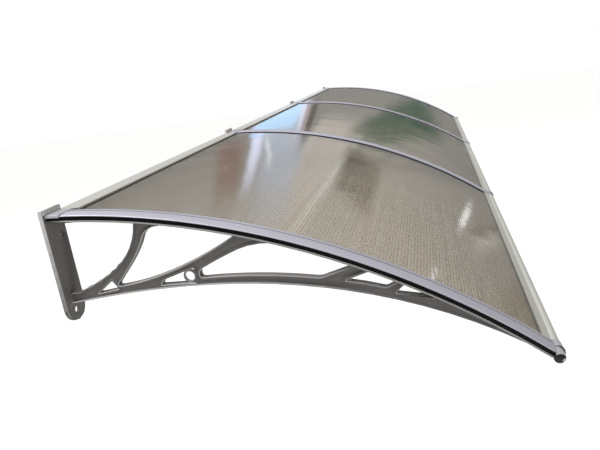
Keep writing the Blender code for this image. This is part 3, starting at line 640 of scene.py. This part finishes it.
def stripLoop():
    # A low dome over a hollow for the screws, with a narrow seam along one side
    half, hollow, depth = coverStrip["width"] / 2, coverStrip["hollow"] / 2, coverStrip["hollowDepth"]
    lip, edge, seam = coverStrip["lip"], coverStrip["edge"], coverStrip["seamAt"]
    pastSeam = seam + coverStrip["seamWidth"]

    def domed(x):
        return coverStrip["height"] - coverStrip["domeRise"] * (x / half) ** 2

    floor = domed(seam) - coverStrip["seamDepth"]
    right, left = ([(spot / 1000, domed(spot / 1000), 0) for spot in spots] for spots in domeSpots)
    return roundedLoop([(-hollow, depth, 0), (hollow, depth, 0), (hollow, 0, 0), (half, 0, 0), (half, lip, 0),
                        (half, domed(half), edge), *right, (pastSeam, domed(pastSeam), 0),
                        (pastSeam, floor, 0), (seam, floor, 0), (seam, domed(seam), 0), *left,
                        (-half, domed(half), edge), (-half, lip, 0), (-half, 0, 0), (-hollow, 0, 0)])


def sealLoop(number):
    # A spine stands between two sheets, and fills the outer side at either end
    half, spine = seal["width"] / 2, seal["spine"] / 2
    bottom = -arch["seatDepth"] + arch["touchGap"]
    top, edge = bottom + seal["base"], seal["edge"]
    left = half if number == 1 else spine
    right = half if number == len(bracketPlaces) else spine
    corners = [(-half, bottom, edge), (half, bottom, edge)]
    if right < half:
        corners += [(half, top, edge), (right, top, 0)]
    corners += [(right, -arch["touchGap"], edge), (-left, -arch["touchGap"], edge)]
    if left < half:
        corners += [(-left, top, 0), (-half, top, edge)]
    return roundedLoop(corners)


def rearCapLoop():
    height, edge, foot = rearCap["height"], rearCap["edge"], rearCap["foot"]
    return roundedLoop([(-seatHalf, 0, foot), (seatHalf, 0, foot), (seatHalf, height, edge),
                        (-seatHalf, height, edge)], rearCap["edgeSteps"])


def blackenStrip(strip, x):
    # The seam's floor takes the black rubber as a painted shadow line, and the lower part of each side takes it as
    # a rubber lip that also stands for the shade under the strip's edge
    middle = coverStrip["seamAt"] + coverStrip["seamWidth"] / 2
    for face in strip.data.polygons:
        aside = face.center.x - x
        paintedShadowSeam = abs(aside - middle) < coverStrip["seamWidth"] / 2 + same and face.area < 0.0001
        onLip = abs(aside) > coverStrip["width"] / 2 - same and archOffset(face.center) < coverStrip["lip"]
        face.material_index = 1 if onLip or paintedShadowSeam else 0


capStart = archAngle(arch["plateThickness"] + arch["touchGap"])
capEnd = archAngle(arch["plateThickness"] + rearCap["length"])
stripStart = archAngle(arch["plateThickness"] + rearCap["length"] + arch["touchGap"])
stripEnd = frontAngle + coverStrip["pastSeat"] / archRadius
for number, x in enumerate(bracketPlaces, 1):
    strip = alongTheArch(f"coverStrip{number}", stripLoop(), x, stripStart, stripEnd, coverStrip["steps"],
                         stripFinish, rubber)
    blackenStrip(strip, x)
    dress(strip, f"cover_strip_{number}")
    dress(alongTheArch(f"sealRubber{number}", sealLoop(number), x, capStart, stripEnd, coverStrip["steps"],
                       rubber), f"seal_{number}")
    dress(alongTheArch(f"rearCap{number}", rearCapLoop(), x, capStart, capEnd, rearCap["steps"], capPlastic),
          f"rear_cap_{number}")
print("stage: strips, seals and rear caps grown")


# Sheets

sheet = {"pitch": 0.006, "rib": 0.0004, "skin": 0.0004, "sink": 0.00005, "sideGap": 0.0035,
         "rearClearance": 0.004, "sharpFrom": 20}
sheetStart = archAngle(arch["plateThickness"] + sheet["rearClearance"])
fluteCount = round((frontAngle - sheetStart) * archRadius / sheet["pitch"])
ribAngle = sheet["rib"] / archRadius
sheetLength = arch["bayLength"] - 2 * sheet["sideGap"]
for number, x in enumerate(bayPlaces, 1):
    mesh = grownFrom(f"sheet{number}", multiwall, {
        "Start Angle": sheetStart, "Pitch Angle": (frontAngle - sheetStart - ribAngle) / fluteCount,
        "Rib Angle": ribAngle, "Flutes": fluteCount, "Top": -arch["touchGap"],
        "Thickness": arch["sheetThickness"], "Skin": sheet["skin"], "Sink": sheet["sink"],
        "Start": x - sheetLength / 2, "Length": sheetLength, "Material": bronze})
    finishMesh(mesh, sheet["sharpFrom"])
    dress(newPiece(f"multiwallSheet{number}", mesh), f"sheet_{number}")
print("stage: sheets grown,", fluteCount, "flutes each")


# Rails and wipers

rearRail = {"depth": 0.041, "height": 0.026, "wall": 0.002, "slotDepth": 0.032, "wiperWidth": 0.0016,
            "wiperEdge": 0.0002, "nib": 0.0015, "edge": 0.0007}
frontRail = {"lip": 0.010, "lipThickness": 0.002, "slot": 0.005, "stop": 0.0006, "noseAhead": 0.0139,
             "noseBelow": 0.003, "noseRadius": 0.0095, "noseSteps": 36, "bore": 0.007, "boreSteps": 24,
             "edge": 0.0006, "wiper": 0.0015, "wiperBack": 0.0002, "wiperFront": 0.0003}
nose = frontPoint(frontRail["noseAhead"], -frontRail["noseBelow"])


def rearRailLoops():
    # A box with a slot for the sheet, whose upper lip ends in a nib turned down
    top, wall, front, edge = rearRail["height"] / 2, rearRail["wall"], rearRail["depth"], rearRail["edge"]
    floor = archHeight(front, -arch["touchGap"] - arch["sheetThickness"]) - arch["touchGap"]
    back, inner, nib = front - rearRail["slotDepth"], front - wall, top - wall - rearRail["nib"]
    outer = [(0, -top, edge), (front, -top, edge), (front, floor, edge), (back, floor, 0),
             (back, top - wall, 0), (inner, top - wall, 0), (inner, nib, 0), (front, nib, edge),
             (front, top, edge), (0, top, edge)]
    chamber = [(wall, wall - top, edge), (inner, wall - top, edge), (inner, floor - wall, edge),
               (wall, floor - wall, edge)]
    return [roundedLoop(outer), roundedLoop(chamber)]


def rearWiperLoop():
    front, edge = rearRail["depth"], rearRail["wiperEdge"]
    back = front - rearRail["wiperWidth"]
    top = rearRail["height"] / 2 - rearRail["wall"] - rearRail["nib"] - arch["touchGap"]
    return roundedLoop([(back, archHeight(back, 0), edge), (front, archHeight(front, 0), edge),
                        (front, top, edge), (back, top, edge)])


def frontRailLoops():
    # Two lips over the sheet's edge, which run into a round hollow nose
    turn = -math.degrees(frontAngle)
    lipTop, slot = frontRail["lipThickness"], frontRail["slot"]
    lipBottom = -slot - lipTop
    upper, lower = (math.degrees(math.asin((lip + frontRail["noseBelow"]) / frontRail["noseRadius"]))
                    for lip in (lipTop, lipBottom))
    inner, stop, edge = -frontRail["lip"], frontRail["stop"], frontRail["edge"]
    noseArc = circleLoop(nose, frontRail["noseRadius"], 180 - upper + turn, -180 - lower + turn,
                         frontRail["noseSteps"])
    outer = [(*frontPoint(inner, 0), 0), (*frontPoint(inner, lipTop), edge), *((x, y, 0) for x, y in noseArc),
             (*frontPoint(inner, lipBottom), edge), (*frontPoint(inner, -slot), 0),
             (*frontPoint(stop, -slot), 0), (*frontPoint(stop, 0), 0)]
    steps = frontRail["boreSteps"]
    return [roundedLoop(outer), circleLoop(nose, frontRail["bore"], 0, 360 - 360 / steps, steps - 1)]


def frontWiperLoop():
    size, backEdge, frontEdge = frontRail["wiper"], frontRail["wiperBack"], frontRail["wiperFront"]
    front = -frontRail["lip"] - arch["touchGap"]
    back = front - size
    return roundedLoop([(*frontPoint(back, 0), backEdge), (*frontPoint(front, 0), frontEdge),
                        (*frontPoint(front, size), frontEdge), (*frontPoint(back, size / 3), backEdge)])


# Each lies between two wall plates or between two seats
alongWallPieces = (("rearRail", "rear_rail", rearRailLoops(), "plateWidth", railFinish, "rail_aluminium"),
                   ("rearWiper", "rear_wiper", [rearWiperLoop()], "plateWidth", softRubber, "black_rubber"),
                   ("frontRail", "front_rail", frontRailLoops(), "seatWidth", railFinish, "rail_aluminium"),
                   ("frontWiper", "front_wiper", [frontWiperLoop()], "seatWidth", softRubber, "black_rubber"))
for number, x in enumerate(bayPlaces, 1):
    for name, node, loops, between, material, slot in alongWallPieces:
        length = arch["bayLength"] - arch[between] - 2 * arch["touchGap"]
        mesh = grownFrom(name, alongWall, {"Start": x - length / 2, "Length": length, "Material": material},
                         loopMesh(loops))
        finishMesh(mesh)
        dress(newPiece(f"{name}{number}", mesh), f"{node}_{number}")
print("stage: rails and wipers drawn")


# Front couplers, turned plugs in the rails' noses, and the two-step caps over them

frontEnd = {"noseRadius": 0.009, "domeRise": 0.0042, "domeSteps": 9, "turnSteps": 40, "barrel": 0.046,
            "spigot": 0.058, "edge": 0.001, "sharpFrom": 40, "innerRadius": 0.0004, "innerSteps": 2,
            "innerFrom": 32, "capTop": 80.0, "capRear": 125.0, "capInner": 0.0091, "capSteps": 16,
            "capInnerSteps": 20, "capTaper": 0.6, "capSink": 0.7}
# Stations of the cap: place along x from its outer end, outer radius at the top and at the lip, lip angle
capStations = ((0.0, 0.0101, 0.0093, 12), (0.0006, 0.0108, 0.0094, 12), (0.0018, 0.0113, 0.0095, 12),
               (0.0195, 0.0113, 0.0095, 12), (0.0203, 0.0111, 0.0094, 12), (0.0204, 0.0118, 0.0118, -20),
               (0.0206, 0.0119, 0.0119, -20), (0.0217, 0.0119, 0.0119, -20), (0.0220, 0.0117, 0.0117, -20),
               (0.0221, 0.0107, 0.0107, 5), (0.0228, 0.0109, 0.0109, 5), (0.0430, 0.0108, 0.0108, 5),
               (0.0452, 0.0106, 0.0106, 5), (0.0460, 0.0102, 0.0102, 5))
# The spans between these stations take the black rubber as a ring, which also stands as painted shade for the
# shadowed step between the cap's two parts
shadedGrooveStations = (4, 5, 6, 7, 8)


def loftMesh(rings, darkSpans=()):
    # Rings of points joined one to the next, with both ends closed
    build = bmesh.new()
    rows = [[build.verts.new(point) for point in ring] for ring in rings]
    for span, (low, high) in enumerate(zip(rows, rows[1:])):
        for i in range(len(low)):
            face = build.faces.new((low[i - 1], low[i], high[i], high[i - 1]))
            face.material_index = 1 if span in darkSpans else 0
    build.faces.new(rows[0])
    build.faces.new(rows[-1])
    mesh = bpy.data.meshes.new("loft")
    build.to_mesh(mesh)
    build.free()
    finishMesh(mesh, frontEnd["sharpFrom"])
    return mesh


def plugRings(outward, x):
    # A barrel with a low dome and a round edge outside, and the CAD's spigot inside
    outside, full, edge = x + outward * seatHalf, frontEnd["noseRadius"], frontEnd["edge"]
    barrel, spigot, spigotRadius = frontEnd["barrel"], frontEnd["spigot"], frontRail["bore"] - arch["touchGap"]
    profile = []
    for i in range(1, frontEnd["domeSteps"] + 1):
        turn = math.radians(90 * i / frontEnd["domeSteps"])
        profile.append((frontEnd["domeRise"] * (1 - math.cos(turn)), full * math.sin(turn)))
    profile += [(barrel - 1.3 * edge, full), (barrel, full - edge), (barrel, spigotRadius),
                (spigot - edge, spigotRadius), (spigot, spigotRadius - edge)]
    steps = frontEnd["turnSteps"]
    return [[(outside - outward * along, -reach, height) for reach, height in
             circleLoop(nose, radius, 0, 360 - 360 / steps, steps - 1)] for along, radius in profile]


def capRings(outward, x):
    # From the strip's end over the nose and down to a lip, and back along the inside
    outside, steps = x + outward * seatHalf, frontEnd["capSteps"]
    start, top = coverStrip["pastSeat"] + arch["touchGap"], frontEnd["capTop"]
    full = max(station[1] for station in capStations)
    rings = []
    for along, topRadius, lipRadius, lip in capStations:
        sunk = (full - topRadius) * frontEnd["capSink"]
        outline = [frontPoint(start, 0), frontPoint(start, coverStrip["height"] - sunk)]
        for share in (i / steps for i in range(steps + 1)):
            radius = blend(topRadius, lipRadius, share ** frontEnd["capTaper"])
            outline += circleLoop(nose, radius, blend(top, lip, share), 0, 0)
        outline += circleLoop(nose, frontEnd["capInner"], lip, frontEnd["capRear"], frontEnd["capInnerSteps"])
        rings.append([(outside - outward * along, -reach, height) for reach, height in outline])
    return rings


for number, x in enumerate(bracketPlaces, 1):
    outward = 1 if number == len(bracketPlaces) else -1
    node = f"front_coupler_{number}"
    if number in (1, len(bracketPlaces)):
        mesh = loftMesh(plugRings(outward, x))
    else:
        mesh = roundedCopy(node, frontEnd["innerRadius"], frontEnd["innerSteps"], frontEnd["innerFrom"])
    dress(newPiece(f"frontCoupler{number}", mesh, knobPlastic), node)
    cap = newPiece(f"frontCap{number}", loftMesh(capRings(outward, x), shadedGrooveStations), capPlastic, rubber)
    dress(cap, f"front_cap_{number}")
print("stage: front ends finished")


# Stage: floor, light and camera

studio = {"floorHeight": -2.2, "floorSize": 60.0, "floorColour": "#fdfdfc", "mirroredFloor": "#b4b3ae",
          "worldColour": "#ffffff", "surroundHeights": (
              (0.0, "#8f8e8a"), (0.14, "#9f9d99"), (0.26, "#adaaa2"), (0.4, "#d6d6d6"), (1.0, "#ffffff"))}
# Soft cards far beyond the other end, which the glossy sheets mirror: place sideways (y/x) and upwards, half
# width and height, how far it shifts sideways with height, softness, colour and brightness
mirroredCards = {
    "lightGrey": (0.064, 0.325, 0.062, 0.163, 0.0, 0.14, "#c6c0b9", 1.45),
    "paleBlue": (0.19, 0.20, 0.050, 0.15, -0.5, 0.5, "#ccd6e8", 1.25),
    "blueStreak": (0.246, 0.21, 0.012, 0.090, -0.38, 0.6, "#dde3fb", 1.95),
    "paleSlot": (0.208, 0.225, 0.005, 0.036, -0.7, 0.6, "#e8ecf6", 1.7),
    "clearBlue": (0.2315, 0.132, 0.0475, 0.040, 0.0, 0.2, "#b6d9fb", 1.85),
    "lilacEdge": (0.177, 0.14, 0.007, 0.045, -0.34, 0.5, "#dde4f6", 1.6),
    "pinkBand": (0.164, 0.15, 0.006, 0.045, -0.3, 0.6, "#c6b6b9", 1.05),
    "darkEdge": (0.151, 0.155, 0.007, 0.045, -0.3, 0.5, "#57514a", 1.0),
    "whiteLine": (0.019, 0.31, 0.005, 0.13, 0.1, 0.6, "#f4f5ef", 1.25),
    "paleSlant": (-0.115, 0.25, 0.030, 0.06, -1.4, 0.9, "#b5b1a9", 1.0),
    "darkPatch": (-0.050, 0.232, 0.056, 0.035, -0.5, 0.35, "#1c1a16", 1.0),
    "darkGreen": (-0.058, 0.115, 0.044, 0.062, 0.9, 0.35, "#0e5238", 1.0),
    "warmBrown": (0.282, 0.26, 0.030, 0.085, -0.45, 0.6, "#98756e", 1.0),
    "brightSlit": (-0.285, 0.078, 0.008, 0.022, -0.34, 0.7, "#ffffff", 1.8),
    "paleGlow": (-0.330, 0.212, 0.007, 0.012, -0.4, 0.8, "#f4f4fa", 1.9),
    "darkRidge": (-0.324, 0.040, 0.006, 0.042, 0.25, 0.6, "#55534e", 1.0),
    "paleBank": (-0.347, 0.048, 0.013, 0.032, 0.2, 0.8, "#d2d1cb", 1.0),
    "brownCorner": (-0.480, 0.025, 0.035, 0.035, 0.3, 0.9, "#6a6456", 1.0)}
lights = {"keyLight": {"place": (-2.7, 2.6, 4.1), "target": (-0.6, -0.4, -0.1), "size": 3.0, "power": 290.0,
                       "colour": "#ffffff"},
          "plugGlint": {"place": (-1.92, -1.60, -1.06), "target": (-1.53, -0.82, -0.29), "size": 0.5,
                        "power": 13.0, "colour": "#dfe8ee"}}
# Worked out from the photograph's vanishing lines: a turn about an axis, from a view along +X
photoCamera = {"turn": (0.2834, 0.2179, -0.1177), "place": (-2.37634, -0.65624, 0.20077), "lens": 35.318,
               "sensor": 36}


def mirrorRay(tree):
    # 1 for a ray from a glossy reflection, but not for one through a sheet
    way = addNode(tree, "ShaderNodeLightPath").outputs
    away = addNode(tree, "ShaderNodeMath", "SUBTRACT", (way["Is Glossy Ray"], way["Is Transmission Ray"]))
    return addNode(tree, "ShaderNodeMath", "MAXIMUM", (away, 0.0))


def makeFloor():
    # Pale paper to the eye and as the light from below, and dimmer in reflections
    half, height = studio["floorSize"] / 2, studio["floorHeight"]
    mesh = bpy.data.meshes.new("studioFloor")
    mesh.from_pydata([(-half, -half, height), (half, -half, height), (half, half, height),
                      (-half, half, height)], [], [(0, 1, 2, 3)])
    material, tree, shader, place = newMaterial("paleStudioFloor", studio["floorColour"], 0.8)
    shader.inputs["Specular IOR Level"].default_value = 0.0
    tone = addNode(tree, "ShaderNodeMix", {"data_type": "RGBA"}, {
        0: mirrorRay(tree), 6: linearColour(studio["floorColour"]), 7: linearColour(studio["mirroredFloor"])})
    tree.links.new(tone.outputs[2], shader.inputs["Base Color"])
    newPiece("studioFloor", mesh, material)


def makeWorld():
    # White to the eye and as the light all round, and a dimmer surround in the reflections
    world = bpy.data.worlds.new("studioWorld")
    bpy.context.scene.world = world
    world.use_nodes = True
    tree = world.node_tree
    aim = addNode(tree, "ShaderNodeTexCoord").outputs["Generated"]
    x, y, z = addNode(tree, "ShaderNodeSeparateXYZ", inputs=(aim,)).outputs
    ramp = addNode(tree, "ShaderNodeValToRGB", inputs=(z,))
    for place, colour in studio["surroundHeights"]:
        ramp.color_ramp.elements.new(place).color = linearColour(colour)
    ramp.color_ramp.elements.remove(ramp.color_ramp.elements[0])
    sideways = addNode(tree, "ShaderNodeMath", "DIVIDE", (y, x))
    ahead = addNode(tree, "ShaderNodeMath", "GREATER_THAN", (x, 0.0))
    mirrored = ramp.outputs[0]
    for aside, above, halfWidth, halfHeight, lean, soft, colour, power in mirroredCards.values():
        rise = addNode(tree, "ShaderNodeMath", "SUBTRACT", (z, above))
        shift = addNode(tree, "ShaderNodeMath", "MULTIPLY_ADD", (rise, lean, aside))
        away = addNode(tree, "ShaderNodeMath", "SUBTRACT", (sideways, shift))
        mask = ahead
        for distance, half in ((away, halfWidth), (rise, halfHeight)):
            fade = addNode(tree, "ShaderNodeMapRange", {"interpolation_type": "SMOOTHSTEP"}, {
                "Value": addNode(tree, "ShaderNodeMath", "ABSOLUTE", (distance,)),
                "From Min": half * (1 + soft), "From Max": half * (1 - soft)})
            mask = addNode(tree, "ShaderNodeMath", "MULTIPLY", (mask, fade))
        glow = [channel * power for channel in linearColour(colour)]
        mirrored = addNode(tree, "ShaderNodeMix", {"data_type": "RGBA"}, {
            0: mask, 6: mirrored, 7: glow}).outputs[2]
    light = addNode(tree, "ShaderNodeMix", {"data_type": "RGBA"}, {
        0: mirrorRay(tree), 6: linearColour(studio["worldColour"]), 7: mirrored}).outputs[2]
    seen = addNode(tree, "ShaderNodeMix", {"data_type": "RGBA"}, {
        0: addNode(tree, "ShaderNodeLightPath").outputs["Is Camera Ray"], 6: light,
        7: linearColour(studio["worldColour"])})
    tree.links.new(seen.outputs[2], tree.nodes["Background"].inputs["Color"])


def makeLight(name, look):
    data = bpy.data.lights.new(name, "AREA")
    data.shape = "SQUARE"
    data.size, data.energy = look["size"], look["power"]
    data.color = linearColour(look["colour"])[:3]
    light = bpy.data.objects.new(name, data)
    light.location = look["place"]
    light.visible_camera = False
    aim = Vector(look["target"]) - Vector(look["place"])
    light.rotation_euler = aim.to_track_quat("-Z", "Y").to_euler()
    bpy.context.scene.collection.objects.link(light)


def makeCamera():
    turn = Vector(photoCamera["turn"])
    rows = Matrix.Rotation(turn.length, 3, turn.normalized()) @ Matrix(((0, -1, 0), (0, 0, -1), (1, 0, 0)))
    right, down, forward = (Vector(rows[i]) for i in range(3))
    data = bpy.data.cameras.new("photoCamera")
    data.sensor_width, data.lens = photoCamera["sensor"], photoCamera["lens"]
    camera = bpy.data.objects.new("photoCamera", data)
    pose = Matrix((right, -down, -forward)).transposed().to_4x4()
    pose.translation = photoCamera["place"]
    camera.matrix_world = pose
    bpy.context.scene.collection.objects.link(camera)
    bpy.context.scene.camera = camera


makeFloor()
makeWorld()
for name, look in lights.items():
    makeLight(name, look)
makeCamera()
bpy.context.scene.view_settings.view_transform = "Standard"
print("stage: floor, light and camera set")
